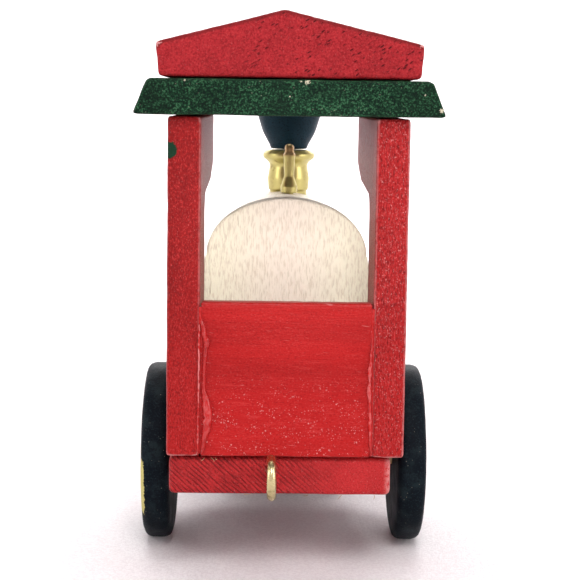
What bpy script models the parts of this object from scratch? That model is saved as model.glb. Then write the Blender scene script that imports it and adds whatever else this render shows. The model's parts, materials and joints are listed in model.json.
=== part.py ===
"""Small wooden toy road roller: a cab on two rear wheels, a boiler with a stack, and a steered front roller.

+Y is forward, +X is the toy's right seen from behind, and +Z is up. The origin is on the ground, at the
centre of the toy's bounding box. Units are metres. Glued faces keep a hair's gap, JOINT_GAP.
"""

import math

import bmesh
import bpy
from mathutils import Vector

TOY_NAME = "toy_road_roller"

# Fore and aft places, along Y
REAR_Y = -0.035
CHASSIS_REAR_Y = REAR_Y + 0.001
CHASSIS_FRONT_Y = REAR_Y + 0.0490
PLATE_REAR_Y = REAR_Y + 0.0152
RAIL_FRONT_Y = REAR_Y + 0.050
REAR_AXLE_Y = REAR_Y + 0.0285
STEER_Y = REAR_Y + 0.066
WHISTLE_Y = REAR_Y + 0.055
STACK_Y = REAR_Y + 0.065
BOILER_FRONT_Y = REAR_Y + 0.0725

# Fits and edges
JOINT_GAP = 0.0002
RUNNING_GAP = 0.00007
BORE_GAP = 0.0001
EDGE = 0.0004
OVERCUT = 0.002

# Chassis, which sits a little left of the cab on this handmade toy
CHASSIS_X = -0.0008
CHASSIS_WIDTH = 0.0365
CHASSIS_BOTTOM = 0.0152
CHASSIS_TOP = 0.0216
CHASSIS_EDGE = 0.0009

# Cab
CAB_WIDTH = 0.0389
WALL = 0.0054
CAB_BOTTOM = CHASSIS_TOP + JOINT_GAP
WALL_TOP = 0.0772
POST_DEPTH = 0.0150
RAIL_FRONT_UNDERSIDE = 0.0677
RAIL_BEND_Y = REAR_Y + 0.038
RAIL_BEND_UNDERSIDE = 0.0648
RAIL_REAR_UNDERSIDE = 0.0634
LOWER_SHEET_TOP = 0.0380
LOWER_SHEET_FRONT_Y = REAR_Y + 0.032
PANEL_THICKNESS = 0.0029
PANEL_TOP = 0.0473
PLATE_WIDTH = 0.0277
PLATE_THICKNESS = 0.0054
PLATE_SPRING_Z = 0.0535
PLATE_TOP = 0.0632

# Roof
ROOF_BOTTOM = WALL_TOP + JOINT_GAP
ROOF_THICKNESS = 0.0058
ROOF_WIDTH = 0.0501
ROOF_TOP_WIDTH = 0.0454
ROOF_REAR_Y = REAR_Y - 0.0015
ROOF_FRONT_Y = REAR_Y + 0.052
GABLE_BOTTOM = ROOF_BOTTOM + ROOF_THICKNESS + JOINT_GAP
GABLE_FOOT_WIDTH = 0.0418
GABLE_EAVE_WIDTH = 0.0428
GABLE_EAVE_HEIGHT = 0.0055
GABLE_HEIGHT = 0.0108
RIDGE_X = -0.0009
GABLE_INSET = 0.0010

# Boiler and what stands on it
BOILER_RADIUS = 0.0125
BOILER_Z = 0.0489
BOILER_CROWN = BOILER_Z + BOILER_RADIUS
BOILER_REAR_Y = PLATE_REAR_Y + PLATE_THICKNESS + JOINT_GAP
DOOR_RADIUS = 0.0113
DOOR_THICKNESS = 0.0026
KNOB_REACH = 0.0025
STACK_X = 0.0008
STACK_TENON_RADIUS = 0.0038
STACK_TENON = 0.0045
WHISTLE_TENON_RADIUS = 0.0009
WHISTLE_TENON = 0.0040
FIREBOX_WIDTH = 0.0273
FIREBOX_FRONT_Y = REAR_Y + 0.044
FIREBOX_TOP = 0.0435

# Rear wheels and axle
WHEEL_RADIUS = 0.0159
WHEEL_INNER_X = 0.0199
WHEEL_WIDTH = 0.0050
WHEEL_RIM_ROUND = 0.0013
HUB_RADIUS = 0.0049
HUB_SET_BACK = 0.0005
HUB_CAP_REACH = 0.0015
AXLE_RADIUS = 0.00238
AXLE_END_X = 0.0230
AXLE_CAP_BOTTOM = 0.0109
AXLE_CAP_WIDTH = 0.0340
AXLE_CAP_DEPTH = 0.0115
AXLE_CAP_RECESS = 0.0005

# Front roller and fork
ROLLER_RADIUS = 0.0120
ROLLER_WIDTH = 0.0260
ROLLER_AXLE_RADIUS = 0.0016
CHEEK_INNER_X = 0.0136
CHEEK_THICKNESS = 0.0035
CHEEK_WIDTH = 0.0090
CROWN_BOTTOM = 0.0258
CROWN_TOP = 0.0310
CROWN_DEPTH = 0.0110
WASHER_THICKNESS = 0.0007
WASHER_RADIUS = 0.0045
HEAD_WIDTH = 0.0150
HEAD_REAR_Y = STEER_Y - 0.0072
HEAD_TOP = 0.0410
PIVOT_RADIUS = 0.0015
PIVOT_HEAD_RADIUS = 0.0028
PIVOT_HEAD_HEIGHT = 0.0020
PIVOT_TOP = 0.0420

# Screw eye
EYE_X = -0.0022
EYE_Z = 0.0196
EYE_RADIUS = 0.0030
EYE_WIRE_RADIUS = 0.00075
EYE_CENTRE_Y = REAR_Y - 0.00425
EYE_SHANK_END_Y = CHASSIS_REAR_Y + 0.0095
EYE_NECK_BEND = 0.0009

ROUND_STEPS = 3
TURNED_STEPS = 40
STACK_TURNED_STEPS = 32
SMALL_TURNED_STEPS = 20

FACING_REAR = (math.radians(90), 0, 0)
ON_ITS_SIDE = (math.radians(90), 0, math.radians(90))
ALONG_X = (0, math.radians(90), 0)
ALONG_MINUS_X = (0, math.radians(-90), 0)
ALONG_Y = (math.radians(-90), 0, 0)
UPRIGHT = (0, 0, 0)

PAINTS = {
    "red_paint": ((0.50, 0.028, 0.028), 0.45, 0.0),
    "green_paint": ((0.014, 0.048, 0.026), 0.60, 0.0),
    "cream_paint": ((0.86, 0.74, 0.57), 0.55, 0.0),
    "navy_paint": ((0.012, 0.020, 0.030), 0.55, 0.0),
    "gold_paint": ((0.60, 0.45, 0.13), 0.35, 0.8),
    "brass": ((0.72, 0.52, 0.22), 0.25, 1.0),
    "bare_wood": ((0.62, 0.43, 0.24), 0.70, 0.0),
}


def clear_scene():
    for obj in list(bpy.data.objects):
        bpy.data.objects.remove(obj, do_unlink=True)


def make_paints():
    for name, (colour, roughness, metallic) in PAINTS.items():
        paint = bpy.data.materials.new(name)
        paint.use_nodes = True
        shader = paint.node_tree.nodes["Principled BSDF"]
        shader.inputs["Base Color"].default_value = (*colour, 1.0)
        shader.inputs["Roughness"].default_value = roughness
        shader.inputs["Metallic"].default_value = metallic


def new_collection(name):
    collection = bpy.data.collections.new(name)
    bpy.context.scene.collection.children.link(collection)
    return collection


def add_object(name, data, paint, location, rotation=UPRIGHT, parent=None):
    """A named part. Its location is in the world, or from its parent empty, which is never turned."""
    obj = bpy.data.objects.new(name, data)
    data.materials.append(bpy.data.materials[paint])
    obj.location = location
    obj.rotation_euler = rotation
    obj.parent = parent
    bpy.data.collections[TOY_NAME].objects.link(obj)
    return obj


def add_pivot(name, location, parent=None):
    """An empty on a joint's axis."""
    pivot = bpy.data.objects.new(name, None)
    pivot.empty_display_size = 0.01
    pivot.location = location
    pivot.parent = parent
    bpy.data.collections[TOY_NAME].objects.link(pivot)
    return pivot


def rounded(corners, steps=ROUND_STEPS):
    """Points of an outline whose corners are (x, y, radius), each corner drawn as an arc."""
    points = []
    count = len(corners)
    for i, (x, y, radius) in enumerate(corners):
        corner = Vector((x, y))
        if not radius:
            points.append((x, y))
            continue
        back = (Vector(corners[i - 1][:2]) - corner).normalized()
        ahead = (Vector(corners[(i + 1) % count][:2]) - corner).normalized()
        half_angle = back.angle(ahead) / 2
        centre = corner + (back + ahead).normalized() * (radius / math.sin(half_angle))
        start = corner + back * (radius / math.tan(half_angle)) - centre
        end = corner + ahead * (radius / math.tan(half_angle)) - centre
        first = math.atan2(start.y, start.x)
        sweep = (math.atan2(end.y, end.x) - first + math.pi) % math.tau - math.pi
        for step in range(steps + 1):
            angle = first + sweep * step / steps
            points.append((centre.x + radius * math.cos(angle), centre.y + radius * math.sin(angle)))
    return points


def soften(obj, width=EDGE, segments=2):
    """Rounds the sharp edges of a part."""
    bevel = obj.modifiers.new("edges", "BEVEL")
    bevel.width = width
    bevel.segments = segments
    bevel.limit_method = "ANGLE"
    bevel.angle_limit = math.radians(40)


def box(name, paint, low, high, edge=EDGE, segments=2, parent=None):
    """A block between two corners. The corners are in the world, or from the parent empty."""
    low, high = Vector(low), Vector(high)
    shape = bmesh.new()
    bmesh.ops.create_cube(shape, size=1.0)
    bmesh.ops.scale(shape, vec=high - low, verts=shape.verts)
    mesh = bpy.data.meshes.new(name)
    shape.to_mesh(mesh)
    shape.free()
    obj = add_object(name, mesh, paint, (low + high) / 2, parent=parent)
    soften(obj, edge, segments)
    return obj


def board(name, paint, outline, thickness, location, rotation, edge=EDGE, parent=None):
    """A flat piece sawn to an outline, its edges rounded."""
    curve = bpy.data.curves.new(name, "CURVE")
    curve.dimensions = "2D"
    curve.fill_mode = "BOTH"
    curve.extrude = thickness / 2
    spline = curve.splines.new("POLY")
    spline.points.add(len(outline) - 1)
    for point, (x, y) in zip(spline.points, outline):
        point.co = (x, y, 0, 1)
    spline.use_cyclic_u = True
    drawn = add_object(name, curve, paint, location, rotation, parent)
    obj = as_mesh(drawn)
    soften(obj, edge)
    return obj


def as_mesh(drawn):
    """The mesh object that takes a curve's place, its caps welded to its sides."""
    name, parent = drawn.name, drawn.parent
    bpy.context.view_layer.update()
    evaluated = drawn.evaluated_get(bpy.context.evaluated_depsgraph_get())
    mesh = bpy.data.meshes.new_from_object(evaluated)
    shape = bmesh.new()
    shape.from_mesh(mesh)
    bmesh.ops.remove_doubles(shape, verts=shape.verts, dist=0.000001)
    bmesh.ops.dissolve_limit(shape, angle_limit=0.001, verts=shape.verts, edges=shape.edges)
    shape.to_mesh(mesh)
    shape.free()
    location, rotation = drawn.location.copy(), drawn.rotation_euler.copy()
    paint = drawn.data.materials[0].name
    bpy.data.objects.remove(drawn, do_unlink=True)
    mesh.materials.clear()
    mesh.name = name
    return add_object(name, mesh, paint, location, rotation, parent)


def turned(name, paint, profile, location, rotation=UPRIGHT, parent=None, steps=TURNED_STEPS):
    """A piece turned on a lathe. The profile's (radius, height) points run down its outer side.

    A profile that starts away from the axis is a closed ring, so the piece has a bore. The profile stands
    half a step round from local X, so that a wheel rests on a flat and not on a corner.
    """
    bored = profile[0][0] > 0
    mesh = bpy.data.meshes.new(name)
    across, along = math.cos(math.pi / steps), math.sin(math.pi / steps)
    vertices = [(radius * across, radius * along, height) for radius, height in profile]
    edges = [(i, i + 1) for i in range(len(profile) - 1)]
    if bored:
        edges.append((len(profile) - 1, 0))
    mesh.from_pydata(vertices, edges, [])
    obj = add_object(name, mesh, paint, location, rotation, parent)
    lathe = obj.modifiers.new("lathe", "SCREW")
    lathe.axis = "Z"
    lathe.steps = steps
    lathe.render_steps = steps
    lathe.use_merge_vertices = True
    lathe.merge_threshold = 0.000001
    lathe.use_smooth_shade = True
    return obj


def cut_away(obj, name, shape, location, rotation=UPRIGHT):
    """Cuts a bmesh shape, placed in the world, out of a part."""
    mesh = bpy.data.meshes.new(name)
    shape.to_mesh(mesh)
    shape.free()
    cutter = bpy.data.objects.new(name, mesh)
    cutter.location = location
    cutter.rotation_euler = rotation
    cutter.hide_render = True
    cutter.display_type = "WIRE"
    bpy.data.collections["cutters"].objects.link(cutter)
    cut = obj.modifiers.new(name, "BOOLEAN")
    cut.operation = "DIFFERENCE"
    cut.solver = "EXACT"
    cut.object = cutter


def drill(obj, name, radius, start, end, steps=SMALL_TURNED_STEPS):
    """Cuts a round hole or groove between two points in the world."""
    start, end = Vector(start), Vector(end)
    shape = bmesh.new()
    bmesh.ops.create_cone(
        shape,
        cap_ends=True,
        segments=steps,
        radius1=radius,
        radius2=radius,
        depth=(end - start).length,
    )
    cut_away(obj, name, shape, (start + end) / 2, (end - start).to_track_quat("Z", "Y").to_euler())


def house(obj, name, low, high):
    """Cuts a square recess, between two corners in the world, that another part sits in."""
    low, high = Vector(low), Vector(high)
    shape = bmesh.new()
    bmesh.ops.create_cube(shape, size=1.0)
    bmesh.ops.scale(shape, vec=high - low, verts=shape.verts)
    cut_away(obj, name, shape, (low + high) / 2)


def make_chassis():
    plank = box(
        "chassis_plank",
        "red_paint",
        (CHASSIS_X - CHASSIS_WIDTH / 2, CHASSIS_REAR_Y, CHASSIS_BOTTOM),
        (CHASSIS_X + CHASSIS_WIDTH / 2, CHASSIS_FRONT_Y, CHASSIS_TOP),
        CHASSIS_EDGE,
        3,
    )
    groove_end = CHASSIS_WIDTH / 2 + OVERCUT - CHASSIS_X
    cap_rear_y = REAR_AXLE_Y - AXLE_CAP_DEPTH / 2
    cap_front_y = REAR_AXLE_Y + AXLE_CAP_DEPTH / 2
    recess_top = CHASSIS_BOTTOM + AXLE_CAP_RECESS
    house(
        plank,
        "axle_cap_housing",
        (-groove_end, cap_rear_y - BORE_GAP, CHASSIS_BOTTOM - OVERCUT),
        (groove_end, cap_front_y + BORE_GAP, recess_top),
    )
    drill(
        plank,
        "plank_axle_groove",
        AXLE_RADIUS + RUNNING_GAP,
        (-groove_end, REAR_AXLE_Y, WHEEL_RADIUS),
        (groove_end, REAR_AXLE_Y, WHEEL_RADIUS),
        TURNED_STEPS,
    )
    drill(
        plank,
        "screw_eye_hole",
        EYE_WIRE_RADIUS + BORE_GAP,
        (EYE_X, CHASSIS_REAR_Y - OVERCUT, EYE_Z),
        (EYE_X, EYE_SHANK_END_Y + JOINT_GAP, EYE_Z),
    )
    cap = box(
        "axle_cap",
        "red_paint",
        (CHASSIS_X - AXLE_CAP_WIDTH / 2, cap_rear_y, AXLE_CAP_BOTTOM),
        (CHASSIS_X + AXLE_CAP_WIDTH / 2, cap_front_y, recess_top - JOINT_GAP),
    )
    drill(
        cap,
        "cap_axle_groove",
        AXLE_RADIUS + RUNNING_GAP,
        (-groove_end, REAR_AXLE_Y, WHEEL_RADIUS),
        (groove_end, REAR_AXLE_Y, WHEEL_RADIUS),
        TURNED_STEPS,
    )


def make_cab_sides():
    """Each side is one board: a rear post, a long top rail that tapers underneath, and a low sheet."""
    post_front_y = REAR_Y + POST_DEPTH
    outline = rounded(
        [
            (REAR_Y, CAB_BOTTOM, 0),
            (REAR_Y, WALL_TOP, 0),
            (RAIL_FRONT_Y, WALL_TOP, 0.0006),
            (RAIL_FRONT_Y, RAIL_FRONT_UNDERSIDE, 0.0012),
            (RAIL_BEND_Y, RAIL_BEND_UNDERSIDE, 0.015),
            (post_front_y, RAIL_REAR_UNDERSIDE, 0.0032),
            (post_front_y, LOWER_SHEET_TOP, 0.0040),
            (LOWER_SHEET_FRONT_Y, LOWER_SHEET_TOP, 0.0040),
            (LOWER_SHEET_FRONT_Y, CAB_BOTTOM, 0),
        ]
    )
    for side, sign in (("left", -1), ("right", 1)):
        centre_x = sign * (CAB_WIDTH - WALL) / 2
        board("cab_side_" + side, "red_paint", outline, WALL, (centre_x, 0, 0), ON_ITS_SIDE)


def make_rear_panel():
    half = CAB_WIDTH / 2 - WALL - BORE_GAP
    box(
        "rear_panel",
        "red_paint",
        (-half, REAR_Y + BORE_GAP, CAB_BOTTOM),
        (half, REAR_Y + PANEL_THICKNESS, PANEL_TOP),
        EDGE / 2,
    )


def make_cab_front_plate():
    """A board with straight sides under half an ellipse."""
    half = PLATE_WIDTH / 2
    rise = PLATE_TOP - PLATE_SPRING_Z
    arch_steps = 24
    outline = [(-half, CAB_BOTTOM), (half, CAB_BOTTOM)]
    for step in range(arch_steps + 1):
        angle = math.pi * step / arch_steps
        outline.append((half * math.cos(angle), PLATE_SPRING_Z + rise * math.sin(angle)))
    centre_y = PLATE_REAR_Y + PLATE_THICKNESS / 2
    board("cab_front_plate", "cream_paint", outline, PLATE_THICKNESS, (0, centre_y, 0), FACING_REAR)


def make_roof():
    roof_top = ROOF_BOTTOM + ROOF_THICKNESS
    outline = rounded(
        [
            (-ROOF_WIDTH / 2, ROOF_BOTTOM, 0.0003),
            (ROOF_WIDTH / 2, ROOF_BOTTOM, 0.0003),
            (ROOF_TOP_WIDTH / 2, roof_top, 0.0008),
            (-ROOF_TOP_WIDTH / 2, roof_top, 0.0008),
        ],
        2,
    )
    length = ROOF_FRONT_Y - ROOF_REAR_Y
    centre_y = (ROOF_FRONT_Y + ROOF_REAR_Y) / 2
    board("roof_board", "green_paint", outline, length, (0, centre_y, 0), FACING_REAR)

    eave_z = GABLE_BOTTOM + GABLE_EAVE_HEIGHT
    gable = rounded(
        [
            (-GABLE_FOOT_WIDTH / 2, GABLE_BOTTOM, 0.0005),
            (GABLE_FOOT_WIDTH / 2, GABLE_BOTTOM, 0.0005),
            (GABLE_EAVE_WIDTH / 2, eave_z, 0.0004),
            (RIDGE_X, GABLE_BOTTOM + GABLE_HEIGHT, 0.0012),
            (-GABLE_EAVE_WIDTH / 2, eave_z, 0.0004),
        ],
        2,
    )
    length = ROOF_FRONT_Y - ROOF_REAR_Y - 2 * GABLE_INSET
    board("roof_gable", "red_paint", gable, length, (0, centre_y, 0), FACING_REAR)


def make_boiler():
    length = BOILER_FRONT_Y - BOILER_REAR_Y
    half_length = length / 2
    profile = rounded(
        [
            (0, half_length, 0),
            (BOILER_RADIUS, half_length, 0.0006),
            (BOILER_RADIUS, -half_length, 0.0006),
            (0, -half_length, 0),
        ],
        2,
    )
    centre_y = (BOILER_FRONT_Y + BOILER_REAR_Y) / 2
    boiler = turned("boiler", "cream_paint", profile, (0, centre_y, BOILER_Z), ALONG_Y)
    drill(
        boiler,
        "stack_hole",
        STACK_TENON_RADIUS + BORE_GAP,
        (STACK_X, STACK_Y, BOILER_CROWN - STACK_TENON - JOINT_GAP),
        (STACK_X, STACK_Y, BOILER_CROWN + OVERCUT),
    )
    drill(
        boiler,
        "whistle_hole",
        WHISTLE_TENON_RADIUS + BORE_GAP,
        (STACK_X, WHISTLE_Y, BOILER_CROWN - WHISTLE_TENON - JOINT_GAP),
        (STACK_X, WHISTLE_Y, BOILER_CROWN + OVERCUT),
    )
    drill(
        boiler,
        "boiler_pivot_hole",
        PIVOT_RADIUS + BORE_GAP,
        (0, STEER_Y, BOILER_Z - BOILER_RADIUS - OVERCUT),
        (0, STEER_Y, PIVOT_TOP + JOINT_GAP),
    )


def make_boiler_front():
    door = rounded(
        [
            (0, DOOR_THICKNESS, 0),
            (DOOR_RADIUS * 0.62, DOOR_THICKNESS, 0.0010),
            (DOOR_RADIUS * 0.70, DOOR_THICKNESS * 0.6, 0.0010),
            (DOOR_RADIUS, DOOR_THICKNESS * 0.6, 0.0008),
            (DOOR_RADIUS, 0, 0),
            (0, 0, 0),
        ],
        1,
    )
    door_y = BOILER_FRONT_Y + JOINT_GAP
    turned("smokebox_door", "navy_paint", door, (0, door_y, BOILER_Z), ALONG_Y)

    knob = rounded(
        [
            (0, KNOB_REACH, 0),
            (0.0018, KNOB_REACH, 0.0010),
            (0.0018, 0.0008, 0.0006),
            (0.0010, 0.0004, 0.0002),
            (0.0010, 0, 0),
            (0, 0, 0),
        ],
        2,
    )
    knob_y = door_y + DOOR_THICKNESS + JOINT_GAP
    turned("smokebox_knob", "gold_paint", knob, (0, knob_y, BOILER_Z), ALONG_Y, steps=SMALL_TURNED_STEPS)


def make_stack():
    """The base has a waist under a bevelled collar; the cup flares like an upturned bell."""
    base = rounded(
        [
            (0, 0.0084, 0),
            (0.0046, 0.0084, 0.0004),
            (0.0053, 0.0076, 0.0004),
            (0.0053, 0.0068, 0.0005),
            (0.0038, 0.0056, 0.0010),
            (0.0043, 0.0026, 0.0016),
            (0.0041, JOINT_GAP, 0),
            (STACK_TENON_RADIUS, JOINT_GAP, 0),
            (STACK_TENON_RADIUS, -STACK_TENON, 0),
            (0, -STACK_TENON, 0),
        ],
        2,
    )
    base_place = (STACK_X, STACK_Y, BOILER_CROWN)
    turned("stack_base", "gold_paint", base, base_place, steps=STACK_TURNED_STEPS)

    cup = rounded(
        [
            (0, 0.0070, 0),
            (0.0044, 0.0070, 0.0005),
            (0.0056, 0.0122, 0.0004),
            (0.0070, 0.0122, 0.0004),
            (0.0068, 0.0080, 0.0060),
            (0.0054, 0.0034, 0.0060),
            (0.0040, 0.0009, 0.0010),
            (0.0037, 0, 0.0003),
            (0, 0, 0),
        ],
        2,
    )
    cup_place = (STACK_X, STACK_Y, BOILER_CROWN + 0.0084 + JOINT_GAP)
    turned("stack_cup", "navy_paint", cup, cup_place, steps=STACK_TURNED_STEPS)


def make_whistle():
    pin = rounded(
        [
            (0, 0.0099, 0),
            (0.00092, 0.0099, 0.0007),
            (0.00092, 0.0082, 0.0003),
            (0.0012, 0.0078, 0.0002),
            (0.0011, 0.0066, 0.0006),
            (0.0010, 0.0034, 0.0010),
            (0.00165, 0.0014, 0.0006),
            (0.00165, JOINT_GAP, 0),
            (WHISTLE_TENON_RADIUS, JOINT_GAP, 0),
            (WHISTLE_TENON_RADIUS, -WHISTLE_TENON, 0),
            (0, -WHISTLE_TENON, 0),
        ],
        2,
    )
    pin_place = (STACK_X, WHISTLE_Y, BOILER_CROWN)
    turned("steam_whistle", "gold_paint", pin, pin_place, steps=SMALL_TURNED_STEPS)


def make_firebox_block():
    block = box(
        "firebox_block",
        "red_paint",
        (-FIREBOX_WIDTH / 2, BOILER_REAR_Y, CAB_BOTTOM),
        (FIREBOX_WIDTH / 2, FIREBOX_FRONT_Y, FIREBOX_TOP),
    )
    drill(
        block,
        "firebox_boiler_seat",
        BOILER_RADIUS + JOINT_GAP,
        (0, BOILER_REAR_Y - OVERCUT, BOILER_Z),
        (0, FIREBOX_FRONT_Y + OVERCUT, BOILER_Z),
        TURNED_STEPS,
    )


def make_steering_head():
    head_bottom = CROWN_TOP + WASHER_THICKNESS + 2 * BORE_GAP
    head = box(
        "steering_head",
        "red_paint",
        (-HEAD_WIDTH / 2, HEAD_REAR_Y, head_bottom),
        (HEAD_WIDTH / 2, BOILER_FRONT_Y, HEAD_TOP),
    )
    drill(
        head,
        "head_boiler_seat",
        BOILER_RADIUS + JOINT_GAP,
        (0, HEAD_REAR_Y - OVERCUT, BOILER_Z),
        (0, BOILER_FRONT_Y + OVERCUT, BOILER_Z),
        TURNED_STEPS,
    )
    drill(
        head,
        "head_pivot_hole",
        PIVOT_RADIUS + BORE_GAP,
        (0, STEER_Y, head_bottom - OVERCUT),
        (0, STEER_Y, BOILER_Z),
    )
    screw_bottom = CROWN_BOTTOM + 0.0003
    head_top = screw_bottom + PIVOT_HEAD_HEIGHT
    screw = rounded(
        [
            (0, PIVOT_TOP, 0),
            (PIVOT_RADIUS * 0.5, PIVOT_TOP, 0),
            (PIVOT_RADIUS, PIVOT_TOP - 0.0020, 0),
            (PIVOT_RADIUS, head_top, 0),
            (PIVOT_HEAD_RADIUS, head_top, 0),
            (PIVOT_HEAD_RADIUS, screw_bottom, 0.0014),
            (0, screw_bottom, 0),
        ]
    )
    turned("pivot_screw", "brass", screw, (0, STEER_Y, 0), steps=SMALL_TURNED_STEPS)
    washer_bottom = CROWN_TOP + BORE_GAP
    washer_bore = PIVOT_RADIUS + BORE_GAP
    washer = [
        (washer_bore, washer_bottom + WASHER_THICKNESS),
        (WASHER_RADIUS, washer_bottom + WASHER_THICKNESS),
        (WASHER_RADIUS, washer_bottom),
        (washer_bore, washer_bottom),
    ]
    turned("pivot_washer", "brass", washer, (0, STEER_Y, 0), steps=SMALL_TURNED_STEPS)


def make_rear_wheels():
    """Two wheels glued on one dowel. Each has a raised rim and hub outside, and a button in its bore."""
    pivot = add_pivot("rear_axle_pivot", (0, REAR_AXLE_Y, WHEEL_RADIUS))
    axle = rounded(
        [
            (0, AXLE_END_X, 0),
            (AXLE_RADIUS, AXLE_END_X, 0.0003),
            (AXLE_RADIUS, -AXLE_END_X, 0.0003),
            (0, -AXLE_END_X, 0),
        ],
        1,
    )
    turned("rear_axle", "bare_wood", axle, (0, 0, 0), ALONG_X, pivot)

    bore = AXLE_RADIUS + BORE_GAP
    hub_face = WHEEL_WIDTH - HUB_SET_BACK
    dish = WHEEL_WIDTH - 0.0013
    wheel = rounded(
        [
            (bore, hub_face, 0),
            (HUB_RADIUS, hub_face, 0.0004),
            (HUB_RADIUS + 0.0005, dish, 0.0004),
            (WHEEL_RADIUS - 0.0048, dish, 0.0006),
            (WHEEL_RADIUS - 0.0038, WHEEL_WIDTH, 0.0006),
            (WHEEL_RADIUS, WHEEL_WIDTH, WHEEL_RIM_ROUND),
            (WHEEL_RADIUS, 0, WHEEL_RIM_ROUND),
            (bore, 0, 0),
        ],
        2,
    )
    button_base = hub_face + BORE_GAP
    button = rounded(
        [
            (0, button_base + HUB_CAP_REACH, 0),
            (0.0026, button_base + HUB_CAP_REACH, 0.0016),
            (0.0038, button_base, 0.0001),
            (AXLE_RADIUS, button_base, 0),
            (AXLE_RADIUS, AXLE_END_X - WHEEL_INNER_X + JOINT_GAP, 0),
            (0, AXLE_END_X - WHEEL_INNER_X + JOINT_GAP, 0),
        ],
        2,
    )
    for side, sign, outward in (("left", -1, ALONG_MINUS_X), ("right", 1, ALONG_X)):
        inner_face = (sign * WHEEL_INNER_X, 0, 0)
        turned("rear_wheel_" + side, "navy_paint", wheel, inner_face, outward, pivot)
        turned("hub_cap_" + side, "gold_paint", button, inner_face, outward, pivot, SMALL_TURNED_STEPS)


def make_fork():
    """A crown between two cheeks. The pivot screw's head sits in the crown's counterbore."""
    pivot = add_pivot("steering_pivot", (0, STEER_Y, CROWN_TOP))
    crown_half = CHEEK_INNER_X - JOINT_GAP
    crown = box(
        "fork_crown",
        "red_paint",
        (-crown_half, -CROWN_DEPTH / 2, CROWN_BOTTOM - CROWN_TOP),
        (crown_half, CROWN_DEPTH / 2, 0),
        parent=pivot,
    )
    drill(
        crown,
        "crown_pivot_hole",
        PIVOT_RADIUS + RUNNING_GAP,
        (0, STEER_Y, CROWN_BOTTOM - OVERCUT),
        (0, STEER_Y, CROWN_TOP + OVERCUT),
    )
    drill(
        crown,
        "crown_counterbore",
        PIVOT_HEAD_RADIUS + JOINT_GAP,
        (0, STEER_Y, CROWN_BOTTOM - OVERCUT),
        (0, STEER_Y, CROWN_BOTTOM + 0.0003 + PIVOT_HEAD_HEIGHT + BORE_GAP),
    )
    half = CHEEK_WIDTH / 2
    foot_z = ROLLER_RADIUS - CROWN_TOP - half
    outline = rounded(
        [
            (-half, 0, 0.0006),
            (-half, foot_z, half * 0.98),
            (half, foot_z, half * 0.98),
            (half, 0, 0.0006),
        ],
        6,
    )
    for side, sign in (("left", -1), ("right", 1)):
        centre_x = sign * (CHEEK_INNER_X + CHEEK_THICKNESS / 2)
        place = (centre_x, 0, 0)
        name = "fork_cheek_" + side
        cheek = board(name, "red_paint", outline, CHEEK_THICKNESS, place, ON_ITS_SIDE, parent=pivot)
        hole_start = sign * (CHEEK_INNER_X - OVERCUT)
        hole_end = sign * (CHEEK_INNER_X + CHEEK_THICKNESS + OVERCUT)
        drill(
            cheek,
            "cheek_hole_" + side,
            ROLLER_AXLE_RADIUS + RUNNING_GAP,
            (hole_start, STEER_Y, ROLLER_RADIUS),
            (hole_end, STEER_Y, ROLLER_RADIUS),
        )
    return pivot


def make_roller(steering_pivot):
    """The drum is pressed on its axle, which turns in the cheeks."""
    pivot = add_pivot("roller_pivot", (0, 0, ROLLER_RADIUS - CROWN_TOP), steering_pivot)
    half = ROLLER_WIDTH / 2
    dish = half - 0.0010
    bore = ROLLER_AXLE_RADIUS + BORE_GAP
    drum = rounded(
        [
            (bore, half, 0),
            (0.0038, half, 0),
            (0.0042, dish, 0),
            (0.0092, dish, 0),
            (0.0098, half, 0),
            (ROLLER_RADIUS, half, 0.0009),
            (ROLLER_RADIUS, -half, 0.0009),
            (0.0098, -half, 0),
            (0.0092, -dish, 0),
            (0.0042, -dish, 0),
            (0.0038, -half, 0),
            (bore, -half, 0),
        ],
        2,
    )
    turned("roller_drum", "navy_paint", drum, (0, 0, 0), ALONG_X, pivot)
    axle_end = CHEEK_INNER_X + CHEEK_THICKNESS + 0.0006
    axle = rounded(
        [
            (0, axle_end, 0),
            (ROLLER_AXLE_RADIUS, axle_end, 0.0005),
            (ROLLER_AXLE_RADIUS, -axle_end, 0.0005),
            (0, -axle_end, 0),
        ],
        2,
    )
    turned("roller_axle", "gold_paint", axle, (0, 0, 0), ALONG_X, pivot, SMALL_TURNED_STEPS)


def make_screw_eye():
    """Bent wire: a straight shank, a small bend at the neck, and a ring that stops short of the shank."""
    reach = math.sqrt(EYE_RADIUS**2 + 2 * EYE_RADIUS * EYE_NECK_BEND)
    neck_angle = math.atan2(EYE_NECK_BEND, reach)
    neck_steps = 6
    ring_steps = 34
    ring_end = math.radians(338)
    path = [(EYE_SHANK_END_Y, EYE_Z)]
    for step in range(neck_steps):
        turn = (math.pi / 2 - neck_angle) * step / neck_steps
        path.append(
            (
                EYE_CENTRE_Y + reach - EYE_NECK_BEND * math.sin(turn),
                EYE_Z + EYE_NECK_BEND * (1 - math.cos(turn)),
            )
        )
    for step in range(ring_steps + 1):
        angle = neck_angle + (ring_end - neck_angle) * step / ring_steps
        path.append((EYE_CENTRE_Y + EYE_RADIUS * math.cos(angle), EYE_Z + EYE_RADIUS * math.sin(angle)))
    wire = bpy.data.curves.new("screw_eye", "CURVE")
    wire.dimensions = "3D"
    wire.bevel_depth = EYE_WIRE_RADIUS
    wire.bevel_resolution = 2
    wire.use_fill_caps = True
    spline = wire.splines.new("POLY")
    spline.points.add(len(path) - 1)
    for point, (y, z) in zip(spline.points, path):
        point.co = (EYE_X, y, z, 1)
    add_object("screw_eye", wire, "brass", (0, 0, 0))


def shade_parts():
    """Round pieces shade smooth and keep their crisp edges."""
    for obj in bpy.data.collections[TOY_NAME].objects:
        if obj.type == "MESH" and len(obj.data.polygons):
            obj.data.shade_smooth()
            obj.data.set_sharp_from_angle(angle=math.radians(35))


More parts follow.
